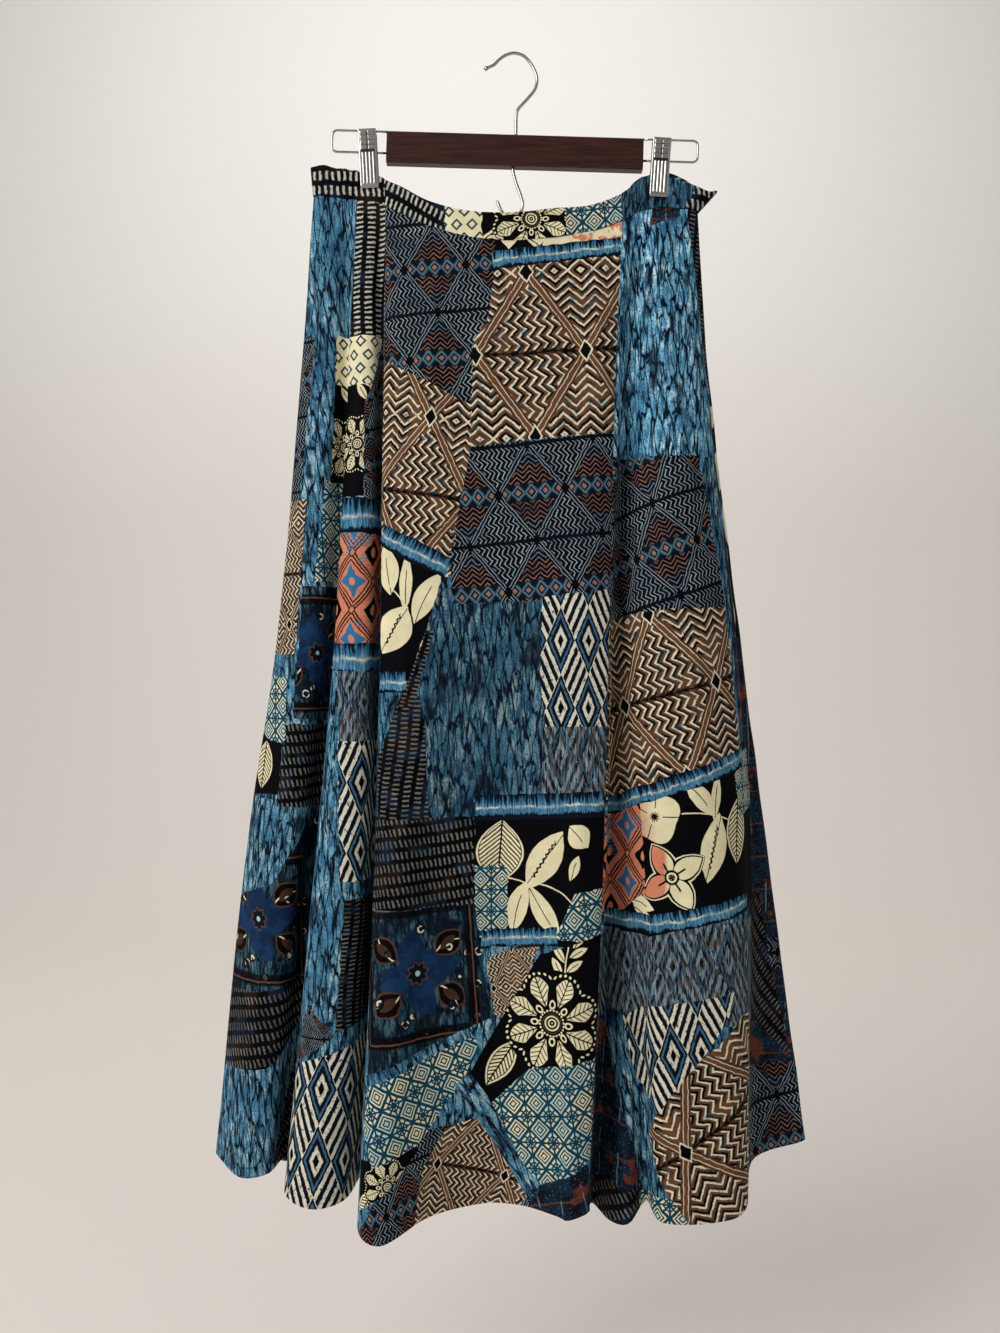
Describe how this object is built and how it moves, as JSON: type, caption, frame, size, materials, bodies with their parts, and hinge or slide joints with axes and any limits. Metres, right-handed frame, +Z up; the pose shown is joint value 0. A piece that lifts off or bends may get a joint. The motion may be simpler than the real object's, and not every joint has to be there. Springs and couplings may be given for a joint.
{
  "type": "patchwork maxi skirt on a clip hanger",
  "caption": "Long A-line skirt of thin patchwork-print cloth, elastic at the back of the waist, hanging in soft folds from a wooden clip hanger.",
  "frame": {"origin": "inner top of the hanger's hook, where a pin or rail bears", "axes": "+Z up, -Y out of the skirt's front, +X to the right seen from the front"},
  "size_m": [0.5612, 0.1175, 1.0948],
  "materials": {
    "skirt_cloth": "thin printed woven cloth, patchwork of blue, navy, brown and cream traditional motifs",
    "waistband_cloth": "the same printed cloth, double, over elastic at the back",
    "bar_wood": "dark red-brown stained wood with a satin lacquer",
    "hanger_wire": "plated steel wire",
    "clip_metal": "plated pressed steel, pressed grooves on the front"
  },
  "bodies": {
    "root": {"skirt_front_panel": "skirt_cloth", "skirt_back_panel": "skirt_cloth", "waistband_front": "waistband_cloth", "waistband_back": "waistband_cloth", "hanger_bar": "bar_wood", "hanger_hook": "hanger_wire", "hanger_lower_hook": "hanger_wire", "hanger_wire_left": "hanger_wire", "hanger_wire_right": "hanger_wire", "clip_left_front": "clip_metal", "clip_left_back": "clip_metal", "clip_left_spring": "clip_metal", "clip_right_front": "clip_metal", "clip_right_back": "clip_metal", "clip_right_spring": "clip_metal"}
  },
  "joints": []
}
